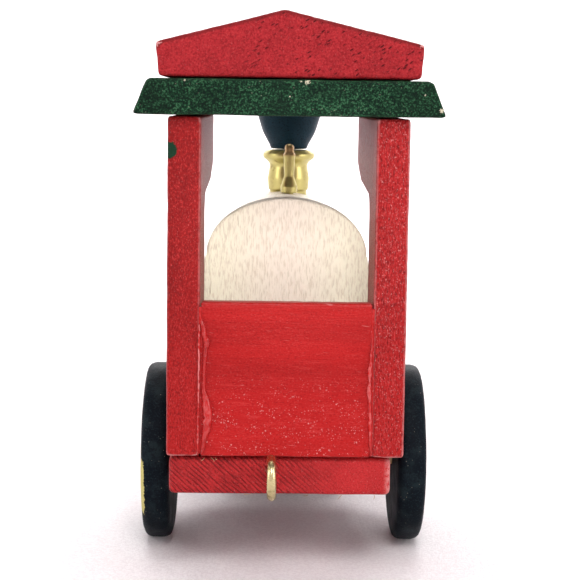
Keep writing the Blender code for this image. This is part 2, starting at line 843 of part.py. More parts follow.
clear_scene()
make_paints()
new_collection(TOY_NAME)
new_collection("cutters")
make_chassis()
make_cab_sides()
make_rear_panel()
make_cab_front_plate()
make_roof()
make_boiler()
make_boiler_front()
make_stack()
make_whistle()
make_firebox_block()
make_steering_head()
make_rear_wheels()
make_roller(make_fork())
make_screw_eye()
shade_parts()
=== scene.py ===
import json
import math
import random

import bmesh
import bpy
import numpy as np
from mathutils import Euler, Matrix, Quaternion, Vector, noise

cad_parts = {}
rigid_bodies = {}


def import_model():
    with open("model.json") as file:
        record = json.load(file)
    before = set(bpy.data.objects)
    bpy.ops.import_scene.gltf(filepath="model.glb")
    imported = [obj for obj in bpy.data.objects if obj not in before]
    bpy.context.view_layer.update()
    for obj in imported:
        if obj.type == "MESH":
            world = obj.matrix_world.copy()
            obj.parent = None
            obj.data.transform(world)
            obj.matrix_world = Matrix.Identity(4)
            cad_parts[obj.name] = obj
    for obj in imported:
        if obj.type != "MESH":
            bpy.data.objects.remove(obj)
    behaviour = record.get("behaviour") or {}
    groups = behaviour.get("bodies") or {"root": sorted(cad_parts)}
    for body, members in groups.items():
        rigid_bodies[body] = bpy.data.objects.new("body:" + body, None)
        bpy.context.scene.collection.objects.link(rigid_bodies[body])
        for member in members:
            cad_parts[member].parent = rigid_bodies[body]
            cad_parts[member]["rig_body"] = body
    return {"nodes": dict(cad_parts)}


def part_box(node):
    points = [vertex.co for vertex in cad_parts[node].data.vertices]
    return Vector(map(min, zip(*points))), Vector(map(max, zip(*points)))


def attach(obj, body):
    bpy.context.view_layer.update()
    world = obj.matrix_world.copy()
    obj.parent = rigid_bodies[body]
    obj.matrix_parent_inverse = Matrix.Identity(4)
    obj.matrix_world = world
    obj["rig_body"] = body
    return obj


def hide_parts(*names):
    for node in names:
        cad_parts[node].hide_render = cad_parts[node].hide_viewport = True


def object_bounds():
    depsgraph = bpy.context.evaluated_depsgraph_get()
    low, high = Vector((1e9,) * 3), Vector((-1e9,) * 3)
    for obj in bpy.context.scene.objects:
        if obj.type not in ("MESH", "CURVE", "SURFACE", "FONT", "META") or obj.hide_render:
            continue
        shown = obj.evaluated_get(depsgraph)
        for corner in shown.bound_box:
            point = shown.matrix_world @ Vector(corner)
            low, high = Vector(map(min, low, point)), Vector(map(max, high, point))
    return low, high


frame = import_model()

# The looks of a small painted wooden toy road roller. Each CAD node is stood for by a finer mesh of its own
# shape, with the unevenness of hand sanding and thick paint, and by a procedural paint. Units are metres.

CAD_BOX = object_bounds()
MM = 0.001

# Camera, at the photograph's angle: low behind the toy and looking slightly down
CAMERA_PLACE = (-0.003, -0.259, 0.080)
CAMERA_PITCH = math.radians(-6.1)
CAMERA_YAW = math.radians(-0.86)
CAMERA_ROLL = math.radians(0.8)
CAMERA_SHIFT_Y = -0.07
SENSOR = 36.0
LENS = 86.9

# Paint colours, linear
RED = (0.24, 0.006, 0.006)
RED_PANEL = (0.37, 0.009, 0.009)
RED_GABLE = (0.315, 0.014, 0.019)
RED_POST = (0.305, 0.008, 0.009)
# Painted light: paler than the panel's red, to make up for the shade under the cab on the plank
RED_PLANK_LIT = (0.44, 0.020, 0.022)
# Painted light: a paler red for the lower parts of the boards and for the crests of the paint beads
RED_PAINTED_LIGHT = (0.52, 0.012, 0.012)
# RED_DEEP and RED_LIGHT: darker and lighter reds for grain, edges and brush strokes. Where they follow the
# grain's relief they are partly painted shade and painted highlight
RED_DEEP = (0.11, 0.002, 0.003)
RED_LIGHT = (0.50, 0.034, 0.033)
RED_PORE = (0.055, 0.002, 0.004)
# Pink of rubbed paint and dust, also used for the painted highlights along the posts' rear edges
PINK_WEAR_AND_HIGHLIGHT = (0.60, 0.26, 0.25)
# Painted glints: pale pink specks that stand for light caught by fine bumps in the paint
PINK_GLINT = (0.72, 0.30, 0.29)
GREEN = (0.0035, 0.0290, 0.0120)
# Painted shade in the pits of the roof paint
GREEN_PIT_SHADE = (0.0015, 0.0080, 0.0045)
# Painted highlights on the roof paint's grains, and the paler green of its worn edges
GREEN_HIGHLIGHT_AND_WEAR = (0.038, 0.125, 0.055)
CHIP = (0.60, 0.54, 0.40)
CREAM = (0.96, 0.94, 0.72)
CREAM_PINK = (0.93, 0.84, 0.70)
CREAM_DEEP = (0.66, 0.57, 0.43)
NAVY = (0.0012, 0.0040, 0.0075)
NAVY_CUP = (0.0070, 0.0270, 0.0420)
NAVY_LIGHT = (0.009, 0.017, 0.020)
NAVY_DEEP = (0.001, 0.002, 0.004)
GOLD = (0.52, 0.46, 0.165)
GOLD_DEEP = (0.34, 0.26, 0.08)
BRASS = (0.55, 0.47, 0.25)
BRASS_DEEP = (0.32, 0.25, 0.12)
TAN = (0.42, 0.27, 0.14)
BIRCH = (0.66, 0.46, 0.26)
BIRCH_DEEP = (0.44, 0.27, 0.13)
PAPER = (0.91, 0.87, 0.88)
PAPER_DEEP = (0.82, 0.77, 0.785)

# How long the grain is along X, Y and Z, beside its width
GRAIN_X = (8, 1, 1)
GRAIN_Y = (1, 9, 1)
GRAIN_Z = (1, 1, 7)
BRUSHED_X = (14, 6, 1)

# Chips in the roof's paint: (share of the width from the left, millimetres below the top, radius in mm)
ROOF_CHIPS = ((0.555, 0.3, 0.36), (0.535, 0.25, 0.18), (0.405, 0.3, 0.13), (0.165, 0.3, 0.16),
              (0.65, 0.2, 0.12), (0.50, 2.7, 0.10), (0.985, 4.6, 0.30), (0.93, 2.2, 0.12))

# Thick paint down a joint: (share of the board's height, middle, half width, rise). The last three are in
# millimetres, and the middle is measured from the joint.
EVEN_FILLER = ((0.02, 0, 0.36, 0.05), (0.5, 0, 0.34, 0.06), (0.97, 0, 0.30, 0.04))
LEFT_THIN_BEAD = ((0.86, -0.15, 0.05, 0.05), (0.83, -0.2, 0.20, 0.34), (0.60, -0.2, 0.20, 0.36),
                  (0.30, -0.25, 0.18, 0.32), (0.10, -0.3, 0.22, 0.30), (0.01, -0.3, 0.10, 0.05))
LEFT_BROAD_BEAD = ((0.89, 0.10, 0.08, 0.06), (0.85, 0.40, 0.36, 0.50), (0.79, 0.65, 0.46, 0.70),
                   (0.74, 1.05, 0.55, 0.62), (0.69, 0.85, 0.38, 0.50), (0.58, 0.68, 0.32, 0.50),
                   (0.47, 0.62, 0.32, 0.50), (0.42, 0.66, 0.40, 0.55), (0.36, 1.00, 0.70, 0.80),
                   (0.28, 1.30, 0.84, 0.95), (0.20, 1.15, 0.76, 0.85), (0.12, 0.80, 0.50, 0.62),
                   (0.05, 0.50, 0.36, 0.40), (0.01, 0.35, 0.14, 0.08))
RIGHT_BEAD = ((0.80, 0.0, 0.06, 0.04), (0.74, -0.05, 0.20, 0.26), (0.62, -0.25, 0.28, 0.40),
              (0.55, -0.40, 0.42, 0.56), (0.50, -0.30, 0.26, 0.34), (0.44, -0.40, 0.44, 0.58),
              (0.36, -0.25, 0.28, 0.42), (0.22, -0.15, 0.32, 0.48), (0.08, 0.0, 0.26, 0.34),
              (0.01, 0.10, 0.10, 0.05))
ARCH_FILLER = ((0.02, 0, 0.70, 0.06), (0.50, 0, 0.66, 0.06), (0.66, 0, 0.55, 0.05), (0.76, 0, 0.12, 0.02))

# Soft lights aimed at the toy's middle: (name, place, width and height, watts)
SOFTBOXES = (("top", (0.0, 0.15, 0.70), (0.5, 0.4), 3.6),
             ("key", (0.06, -0.60, 0.66), (0.26, 0.22), 3.8),
             ("left", (-0.48, -0.20, 0.26), (0.22, 0.40), 1.0),
             ("right", (0.48, -0.22, 0.26), (0.22, 0.40), 1.3),
             ("window", (0.05, 0.75, 0.42), (0.8, 0.4), 3.4))

# A soft light on the backdrop, and a narrow one on the arch
BACK_PLACE = (0.0, 0.45, 0.55)
BACK_TARGET = (0.0, 0.9, 0.35)
BACK_SIZE = (1.4, 0.5)
BACK_WATTS = 6.0
SNOOT_PLACE = (0.0, -0.62, 0.27)
SNOOT_RIGHTWARD = 2.2 * MM
SNOOT_BELOW_CROWN = 7.5 * MM
SNOOT_RADIUS_SHARE = 0.80
SNOOT_WATTS = 5.5
WORLD_STRENGTH = 0.05

AXES = {"X": (1, 0, 0), "Y": (0, 1, 0), "Z": (0, 0, 1)}

# A turned piece's vertices nearer its axis than this are on it, and this near in angle are on one lathe step
ON_AXIS = 2e-5
SAME_STEP = 0.02

# The unevenness of small turned pieces
SMALL_WEAR = {"wave": 0.01 * MM, "nick": 0}

# The share by which the mean of nearby normals shortens on a full edge
EDGE_TURN = 0.10


# ---------------------------------------------------------------- meshes

def welded(mesh):
    """A bmesh of a mesh with its split corners joined."""
    shape = bmesh.new()
    shape.from_mesh(mesh)
    bmesh.ops.remove_doubles(shape, verts=shape.verts, dist=1e-6)
    return shape


def new_piece(name, mesh):
    piece = bpy.data.objects.new(name, mesh)
    bpy.context.scene.collection.objects.link(piece)
    return piece


def evaluated_mesh(piece):
    """The piece's mesh with its modifiers applied. The piece itself is removed."""
    bpy.context.view_layer.update()
    graph = bpy.context.evaluated_depsgraph_get()
    mesh = bpy.data.meshes.new_from_object(piece.evaluated_get(graph))
    bpy.data.objects.remove(piece)
    return mesh


def fine_copy(node, grid):
    """A mesh of the CAD node's shape with even faces, grid across, its edges eased as sanding does."""
    mesh = bpy.data.meshes.new(node)
    shape = welded(frame["nodes"][node].data)
    shape.to_mesh(mesh)
    shape.free()
    piece = new_piece("fine", mesh)
    remesh = piece.modifiers.new("even", "REMESH")
    remesh.mode = "VOXEL"
    remesh.voxel_size = grid
    ease = piece.modifiers.new("ease", "SMOOTH")
    ease.factor = 0.5
    ease.iterations = 1
    return evaluated_mesh(piece)


def vertex_array(mesh, what):
    values = np.empty(len(mesh.vertices) * 3, np.float32)
    mesh.vertices.foreach_get(what, values)
    return values.reshape(-1, 3).astype(float)


def spread(values, pairs, rounds):
    """Each vertex's value averaged with its neighbours', several times over."""
    count = np.bincount(pairs.ravel(), minlength=len(values)).astype(float) + 1
    for _ in range(rounds):
        total = values.copy()
        np.add.at(total, pairs[:, 0], values[pairs[:, 1]])
        np.add.at(total, pairs[:, 1], values[pairs[:, 0]])
        values = (total.T / count).T
    return values


def edge_share(mesh):
    """How near each vertex is to a rounded edge, from 0 on a flat to 1, by how fast the normals turn."""
    pairs = np.empty(len(mesh.edges) * 2, np.int32)
    mesh.edges.foreach_get("vertices", pairs)
    pairs = pairs.reshape(-1, 2)
    normals = vertex_array(mesh, "normal")
    mean = spread(normals, pairs, 2)
    turn = 1 - np.linalg.norm(mean, axis=1)
    return np.clip(spread(turn, pairs, 1) / EDGE_TURN, 0, 1)


def wear(mesh, seed, wave=0.05 * MM, wave_size=7 * MM, nick=0.12 * MM, nick_size=1.6 * MM):
    """Makes a mesh slightly uneven, and nicks its edges. The edge share is kept for the paint to read.

    seed shifts the unevenness, so that no two pieces match.
    """
    points = vertex_array(mesh, "co")
    normals = vertex_array(mesh, "normal")
    edges = edge_share(mesh)
    shift = Vector((seed * 3.1, seed * 5.7, seed * 1.3))
    moves = np.empty(len(points))
    for i, point in enumerate(points):
        place = Vector(point)
        bumps = noise.noise(place / wave_size + shift) + 0.35 * noise.noise(place / (wave_size / 4) + shift)
        moves[i] = wave * bumps
        if edges[i] > 0.2:
            chipped = max(0.0, noise.noise(place / nick_size - shift) - 0.05)
            moves[i] -= nick * edges[i] * chipped * 2.5
    points += normals * moves[:, None]
    mesh.vertices.foreach_set("co", points.astype(np.float32).ravel())
    mark = mesh.attributes.new("edge", "FLOAT", "POINT")
    mark.data.foreach_set("value", edges.astype(np.float32))
    mesh.shade_smooth()
    mesh.update()


def place_piece(name, mesh, paint, body, nodes=()):
    """Adds a finished piece: its paint, the body it rides on, and the nodes that it stands for."""
    mesh.materials.clear()
    mesh.materials.append(paint)
    mesh.name = name
    piece = new_piece(name, mesh)
    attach(piece, body)
    if nodes:
        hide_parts(*nodes)
    return piece


def body_of(node):
    return frame["nodes"][node]["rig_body"]


def board(node, name, paint, seed, grid=0.32 * MM, **worn):
    """A sawn and sanded board that stands for a CAD node."""
    mesh = fine_copy(node, grid)
    wear(mesh, seed, **worn)
    return place_piece(name, mesh, paint, body_of(node), [node])


# ---------------------------------------------------------------- turned pieces

def lathe_step(shape, axis, centre):
    """The (radius, height) of each vertex on one lathe step or on the axis, and the step's first vertex."""
    across = axis.orthogonal().normalized()
    other = axis.cross(across)

    def polar(point):
        height = (point - centre).dot(axis)
        out = point - centre - axis * height
        return out.length, height, math.atan2(out.dot(other), out.dot(across))

    first = next(v for v in shape.verts if polar(v.co)[0] > ON_AXIS)
    angle = polar(first.co)[2]
    chosen = {}
    for vertex in shape.verts:
        radius, height, turn = polar(vertex.co)
        apart = abs((turn - angle + math.pi) % math.tau - math.pi)
        if radius < ON_AXIS or apart < SAME_STEP:
            chosen[vertex] = (0.0 if radius < ON_AXIS else radius, height)
    return chosen, first


def lathe_line(node, axis, centre):
    """The CAD node's profile as (radius, height) points, read along one of its lathe steps.

    An open line is carried on to the axis at both ends. The second value says if it is a closed loop, as on
    a piece with a bore.
    """
    shape = welded(frame["nodes"][node].data)
    chosen, first = lathe_step(shape, axis, centre)
    links = {v: [] for v in chosen}
    for edge in shape.edges:
        a, b = edge.verts
        if a in chosen and b in chosen:
            links[a].append(b)
            links[b].append(a)
    ends = sorted((v for v in links if len(links[v]) == 1), key=lambda v: chosen[v][1])
    current = ends[-1] if ends else first
    line, seen = [], set()
    while current is not None:
        line.append(chosen[current])
        seen.add(current)
        current = next((v for v in links[current] if v not in seen), None)
    shape.free()
    if ends:
        line = [(0.0, line[0][1])] * (line[0][0] > ON_AXIS) + line
        line = line + [(0.0, line[-1][1])] * (line[-1][0] > ON_AXIS)
    return line, not ends


def softened(line, closed, spacing):
    """A profile with points every spacing or so, and its corners cut twice, as thick paint rounds them."""
    points = [Vector(p) for p in line]
    pairs = list(zip(points, points[1:] + points[:1])) if closed else list(zip(points, points[1:]))
    dense = []
    for start, end in pairs:
        steps = max(1, round((end - start).length / spacing))
        dense += [start.lerp(end, i / steps) for i in range(steps)]
    if not closed:
        dense.append(points[-1])
    for _ in range(2):
        cut = []
        count = len(dense)
        for i in range(count if closed else count - 1):
            start, end = dense[i], dense[(i + 1) % count]
            cut += [start.lerp(end, 0.25), start.lerp(end, 0.75)]
        if not closed:
            cut = [dense[0]] + cut + [dense[-1]]
        dense = cut[::2] if closed else [cut[0]] + cut[1:-1:2] + [cut[-1]]
    return dense


def lathe(line, closed, axis, centre, steps):
    """A mesh turned from a profile. A point on the axis becomes one vertex."""
    across = axis.orthogonal().normalized()
    other = axis.cross(across)
    shape = bmesh.new()
    rings = []
    for radius, height in line:
        middle = centre + axis * height
        if radius < 1e-6:
            rings.append([shape.verts.new(middle)] * steps)
            continue
        ring = []
        for step in range(steps):
            turn = math.tau * step / steps
            out = across * math.cos(turn) + other * math.sin(turn)
            ring.append(shape.verts.new(middle + out * radius))
        rings.append(ring)
    if closed:
        rings.append(rings[0])
    for upper, lower in zip(rings, rings[1:]):
        for step in range(steps):
            after = (step + 1) % steps
            corners = [upper[step], lower[step], lower[after], upper[after]]
            corners = list(dict.fromkeys(corners))
            if len(corners) > 2:
                shape.faces.new(corners)
    bmesh.ops.recalc_face_normals(shape, faces=shape.faces)
    mesh = bpy.data.meshes.new("turned")
    shape.to_mesh(mesh)
    shape.free()
    return mesh


def centre_of(node):
    low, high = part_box(node)
    return (low + high) / 2


def turned(node, name, paint, seed, axis, steps=128, spacing=0.45 * MM, **worn):
    """A piece from the lathe that stands for a CAD node. axis is the letter of its lathe axis."""
    centre = centre_of(node)
    direction = Vector(AXES[axis])
    line, closed = lathe_line(node, direction, centre)
    mesh = lathe(softened(line, closed, spacing), closed, direction, centre, steps)
    wear(mesh, seed, **worn)
    return place_piece(name, mesh, paint, body_of(node), [node])


# ---------------------------------------------------------------- wire and beads of paint

def tube_mesh(points, radii, sides):
    """A closed tube through points. radii are its half widths across, as (along X, away from it) pairs."""
    shape = bmesh.new()
    rings = []
    last = len(points) - 1
    for i, point in enumerate(points):
        ahead = (points[min(i + 1, last)] - points[max(i - 1, 0)]).normalized()
        side = Vector((1, 0, 0))
        out = side.cross(ahead).normalized()
        side = ahead.cross(out)
        wide, tall = radii[i]
        turns = [math.tau * step / sides for step in range(sides)]
        offsets = [side * (wide * math.cos(t)) + out * (tall * math.sin(t)) for t in turns]
        rings.append([shape.verts.new(point + offset) for offset in offsets])
    for upper, lower in zip(rings, rings[1:]):
        for step in range(sides):
            after = (step + 1) % sides
            shape.faces.new([upper[step], upper[after], lower[after], lower[step]])
    shape.faces.new(rings[0][::-1])
    shape.faces.new(rings[-1])
    bmesh.ops.recalc_face_normals(shape, faces=shape.faces)
    mesh = bpy.data.meshes.new("tube")
    shape.to_mesh(mesh)
    shape.free()
    mesh.shade_smooth()
    return mesh


def smooth_rows(rows, steps):
    """Rows of numbers with steps more between each two, on a curve through them all."""
    table = [np.array(row, float) for row in rows]
    table = [table[0]] + table + [table[-1]]
    found = []
    for a, b, c, d in zip(table, table[1:], table[2:], table[3:]):
        for step in range(steps):
            t = step / steps
            curve = (c - a) * t + (2 * a - 5 * b + 4 * c - d) * t * t + (3 * b - a - 3 * c + d) * t**3
            found.append(b + curve / 2)
    found.append(table[-1])
    return found


def bead(name, node, stations, joint_x, paint, seed):
    """Thick paint that ran down a joint on a board's rear face, half sunk in the boards."""
    low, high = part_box(node)
    points, radii = [], []
    for share, middle, half, rise in smooth_rows(stations, 9):
        z = low.z + share * (high.z - low.z)
        wobble = noise.noise(Vector((seed, 0, z / (0.9 * MM))))
        points.append(Vector((joint_x + (middle + 0.10 * wobble) * MM, low.y, z)))
        swell = 1 + 0.25 * noise.noise(Vector((seed + 9, 0, z / (0.7 * MM))))
        radii.append((max(half, 0.04) * swell * MM, max(rise, 0.02) * swell * MM))
    mesh = tube_mesh(points, radii, 16)
    place_piece(name, mesh, paint, body_of(node))


# ---------------------------------------------------------------- paints

class Paint:
    """One material's nodes, by short calls. Sizes and depths are in metres."""

    def __init__(self, name, roughness=0.5, metallic=0.0, specular=0.5):
        self.material = bpy.data.materials.new(name)
        self.material.use_nodes = True
        self.tree = self.material.node_tree
        self.shader = self.tree.nodes["Principled BSDF"]
        self.shader.inputs["Metallic"].default_value = metallic
        self.shader.inputs["Roughness"].default_value = roughness
        self.shader.inputs["Specular IOR Level"].default_value = specular
        self.place = self.add("ShaderNodeTexCoord").outputs["Object"]
        draw = random.Random(name)
        self.shift = [draw.uniform(-0.5, 0.5) for _ in range(3)]
        self.colour = None
        self.normal = None

    def add(self, kind, **settings):
        node = self.tree.nodes.new(kind)
        for key, value in settings.items():
            setattr(node, key, value)
        return node

    def join(self, value, socket):
        """Links an output to an input, or sets the input to a plain value."""
        if isinstance(value, bpy.types.NodeSocket):
            self.tree.links.new(value, socket)
        elif isinstance(value, tuple):
            socket.default_value = (*value, 1.0)
        else:
            socket.default_value = value

    def stretched(self, size, grain, turn, place=None):
        """The place in a turned grid, whose cells are size wide and grain times that along each axis."""
        mapping = self.add("ShaderNodeMapping", vector_type="TEXTURE")
        mapping.inputs["Location"].default_value = self.shift
        mapping.inputs["Rotation"].default_value = turn
        mapping.inputs["Scale"].default_value = [size * g for g in grain]
        self.join(place or self.place, mapping.inputs["Vector"])
        return mapping.outputs["Vector"]

    def clouds(self, size, grain=(1, 1, 1), turn=(0, 0, 0), detail=3.0, rough=0.55, place=None):
        """Smooth noise from 0 to 1."""
        texture = self.add("ShaderNodeTexNoise")
        self.join(self.stretched(size, grain, turn, place), texture.inputs["Vector"])
        texture.inputs["Scale"].default_value = 1.0
        texture.inputs["Detail"].default_value = detail
        texture.inputs["Roughness"].default_value = rough
        return texture.outputs["Fac"]

    def dots(self, size, grain=(1, 1, 1), turn=(0, 0, 0)):
        """The distance to scattered points, 0 at each."""
        texture = self.add("ShaderNodeTexVoronoi")
        self.join(self.stretched(size, grain, turn), texture.inputs["Vector"])
        texture.inputs["Scale"].default_value = 1.0
        return texture.outputs["Distance"]

    def stripes(self, size, turn, bend):
        """Bands along X of the turned grid, bent by noise."""
        texture = self.add("ShaderNodeTexWave", wave_type="BANDS", bands_direction="X")
        self.join(self.stretched(size, (1, 1, 1), turn), texture.inputs["Vector"])
        texture.inputs["Scale"].default_value = 1.0
        texture.inputs["Distortion"].default_value = bend
        texture.inputs["Detail"].default_value = 3.0
        texture.inputs["Detail Scale"].default_value = 0.35
        return texture.outputs["Fac"]

    def ramp(self, value, low, high, to_low=0.0, to_high=1.0):
        """value from low to high as a smooth step from to_low to to_high."""
        step = self.add("ShaderNodeMapRange", interpolation_type="SMOOTHSTEP")
        self.join(value, step.inputs["Value"])
        step.inputs["From Min"].default_value = low
        step.inputs["From Max"].default_value = high
        step.inputs["To Min"].default_value = to_low
        step.inputs["To Max"].default_value = to_high
        return step.outputs["Result"]

    def work_out(self, operation, first, second):
        math_node = self.add("ShaderNodeMath", operation=operation)
        self.join(first, math_node.inputs[0])
        self.join(second, math_node.inputs[1])
        return math_node.outputs[0]

    def times(self, first, second):
        return self.work_out("MULTIPLY", first, second)

    def plus(self, first, second):
        return self.work_out("ADD", first, second)

    def all_but(self, value):
        """1 where value is 0, and 0 where it is 1."""
        return self.work_out("SUBTRACT", 1.0, value)

    def along(self, axis, start, end):
        """From 0 at start to 1 at end, along the row's x, y or z."""
        split = self.add("ShaderNodeSeparateXYZ")
        self.join(self.place, split.inputs[0])
        return self.ramp(split.outputs["XYZ".index(axis)], start, end)

    def across(self, node, axis, start, end):
        """From 0 to 1 between two shares of a node's box, counted from its low end."""
        low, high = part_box(node)
        i = "XYZ".index(axis)
        side = high[i] - low[i]
        return self.along(axis, low[i] + start * side, low[i] + end * side)

    def near(self, point, radius, ragged):
        """1 round a point, out to an uneven edge about radius away."""
        apart = self.add("ShaderNodeVectorMath", operation="DISTANCE")
        self.join(self.place, apart.inputs[0])
        apart.inputs[1].default_value = point
        uneven = self.ramp(self.clouds(radius * 0.6), 0.3, 0.7, 1 - ragged, 1 + ragged)
        share = self.work_out("DIVIDE", apart.outputs["Value"], self.times(uneven, radius))
        return self.ramp(share, 1.06, 0.94)

    def around(self, axis, centre):
        """(radius, height, 0) from an axis through centre, for rings left by the lathe."""
        away = self.add("ShaderNodeVectorMath", operation="SUBTRACT")
        self.join(self.place, away.inputs[0])
        away.inputs[1].default_value = centre
        split = self.add("ShaderNodeSeparateXYZ")
        self.join(away.outputs[0], split.inputs[0])
        flat = [split.outputs[i] for i in range(3) if "XYZ"[i] != axis]
        squares = [self.times(part, part) for part in flat]
        radius = self.work_out("POWER", self.plus(*squares), 0.5)
        joined = self.add("ShaderNodeCombineXYZ")
        self.join(radius, joined.inputs[0])
        self.join(split.outputs["XYZ".index(axis)], joined.inputs[1])
        return joined.outputs[0]

    def edge(self):
        """The edge share that wear() kept, from 0 on a flat to 1."""
        return self.add("ShaderNodeAttribute", attribute_name="edge").outputs["Fac"]

    def worn(self, least=0.45, ragged=0.6 * MM):
        """1 on the stretches of edge where paint has rubbed off."""
        rubbed = self.ramp(self.clouds(ragged, detail=4.0), 0.40, 0.62)
        return self.times(self.ramp(self.edge(), least, 1.0), rubbed)

    def start(self, first, second, mask):
        """The ground colour, between two by a mask."""
        self.colour = first
        self.cover(mask, second)

    def cover(self, mask, colour, share=1.0):
        """Lays a colour over what is there, where the mask is 1."""
        mix = self.add("ShaderNodeMix", data_type="RGBA")
        self.join(self.times(mask, share) if share < 1 else mask, mix.inputs[0])
        self.join(self.colour, mix.inputs[6])
        self.join(colour, mix.inputs[7])
        self.colour = mix.outputs[2]

    def raised(self, height, depth):
        """Adds relief: height 0 to 1 stands for depth metres."""
        bump = self.add("ShaderNodeBump")
        bump.inputs["Distance"].default_value = depth
        self.join(height, bump.inputs["Height"])
        if self.normal is not None:
            self.join(self.normal, bump.inputs["Normal"])
        self.normal = bump.outputs["Normal"]

    def sheen(self, value, dull, glossy):
        """Roughness that runs from dull where value is 0 to glossy where it is 1."""
        self.join(self.ramp(value, 0.0, 1.0, dull, glossy), self.shader.inputs["Roughness"])

    def done(self):
        self.join(self.colour, self.shader.inputs["Base Color"])
        if self.normal is not None:
            self.join(self.normal, self.shader.inputs["Normal"])
        return self.material


def red_wood(name, grain, fibre=0.25 * MM, depth=0.04 * MM, base=RED,
             glint=0.16, streak=0.5, gloss=0.42, rub=0.5, thin=None):
    """Red brush paint over wood, its grain showing through. rub is how far the edges are worn.

    thin names a board that is painted paler low down, as painted light.
    """
    paint = Paint(name, specular=0.12)
    broad = paint.clouds(4 * MM, grain, detail=5.0, rough=0.6)
    paint.start(tuple(part * 0.86 for part in base), base, paint.ramp(broad, 0.36, 0.60))
    # Painted light: the board is paler towards the bottom
    if thin:
        paint.cover(paint.across(thin, "Z", 0.60, 0.10), RED_PAINTED_LIGHT, 0.35)
    # Grain tone, and partly painted shade and highlight: the fibres are darker where they sink and lighter
    # where they stand up, and the same noise raises them
    fibres = paint.clouds(fibre, grain, detail=3.0, rough=0.6)
    paint.cover(paint.ramp(fibres, 0.48, 0.36), RED_DEEP, streak)
    paint.cover(paint.ramp(fibres, 0.54, 0.68), RED_LIGHT, streak)
    # Painted glints on the grit, as strong as glint says
    grit = paint.clouds(fibre * 0.9, (1, 1, 1.4), detail=1.0)
    if glint:
        paint.cover(paint.ramp(grit, 0.52, 0.85), PINK_GLINT, glint)
        paint.cover(paint.ramp(grit, 0.68, 0.76), PINK_GLINT, glint * 1.3)
    paint.cover(paint.worn(), PINK_WEAR_AND_HIGHLIGHT, rub)
    paint.raised(broad, depth)
    paint.raised(fibres, depth)
    paint.raised(grit, depth * 1.5)
    paint.sheen(fibres, gloss + 0.12, gloss - 0.08)
    return paint


def add_pores(paint, gable):
    """Short dark dashes of open grain, slanting up to the right, and dark paint along the top edges."""
    low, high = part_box(gable)
    slant = (0, math.radians(-35), 0)
    dashes = paint.dots(0.48 * MM, (3.0, 1, 1), slant)
    patches = paint.ramp(paint.clouds(2.2 * MM, detail=4.0), 0.38, 0.54)
    rightward = paint.across(gable, "X", 0.15, 0.5)
    marks = paint.times(paint.ramp(dashes, 0.30, 0.17), paint.times(patches, rightward))
    paint.cover(marks, RED_PORE, 0.85)
    paint.raised(paint.all_but(marks), 0.14 * MM)
    edge = paint.edge()
    top = paint.across(gable, "Z", 0.35, 0.5)
    paint.cover(paint.times(paint.ramp(edge, 0.25, 0.7), top), RED_DEEP, 0.75)
    for corner_x in (low.x, high.x):
        corner = paint.near((corner_x, low.y, low.z + 0.51 * (high.z - low.z)), 0.7 * MM, 0.6)
        paint.cover(paint.times(corner, paint.ramp(edge, 0.4, 0.9)), PINK_WEAR_AND_HIGHLIGHT, 0.8)


def add_edge_highlight(paint, node, axis, side, share=0.75):
    """A thin pink line along a rear edge, broken in places: a painted highlight, partly rubbed paint. side
    is 1 for the node's high end on the axis.
    """
    low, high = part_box(node)
    i = "XYZ".index(axis)
    rim = high[i] if side > 0 else low[i]
    inner = paint.along(axis, rim - side * 0.55 * MM, rim - side * 0.25 * MM)
    rear = paint.along("Y", low.y + 0.7 * MM, low.y + 0.4 * MM)
    here = paint.times(paint.ramp(paint.edge(), 0.30, 0.70), paint.times(inner, rear))
    broken = paint.ramp(paint.clouds(1.2 * MM, detail=4.0), 0.36, 0.54, 0.3, 1.0)
    paint.cover(paint.times(here, broken), PINK_WEAR_AND_HIGHLIGHT, share)


def add_rings(paint, plank):
    """The plank's growth rings, open saw-cut lines that run down to the right on its end."""
    low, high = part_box(plank)
    slope = (0, math.radians(-47), 0)
    broken = paint.ramp(paint.clouds(0.40 * MM, (1, 8, 5), slope, detail=3.0), 0.34, 0.54)
    left_side = paint.along("X", high.x - 4 * MM, low.x + 16 * MM)
    coarse = paint.ramp(paint.stripes(2.0 * MM, slope, 4.0), 0.50, 0.14)
    fine = paint.ramp(paint.clouds(0.20 * MM, (1, 8, 5), slope, detail=2.0), 0.46, 0.34)
    lines = paint.work_out("MAXIMUM", paint.times(coarse, broken), paint.times(fine, 0.6))
    cuts = paint.times(lines, left_side)
    paint.cover(cuts, RED_PORE, 0.60)
    paint.raised(paint.all_but(cuts), 0.14 * MM)
    right_end = paint.along("X", high.x - 1.3 * MM, high.x - 0.2 * MM)
    rear = paint.along("Y", low.y + 1.5 * MM, low.y + 0.3 * MM)
    rubbed = paint.ramp(paint.clouds(0.7 * MM, detail=4.0), 0.38, 0.52)
    paint.cover(paint.times(paint.times(right_end, rear), rubbed), PINK_WEAR_AND_HIGHLIGHT, 0.6)


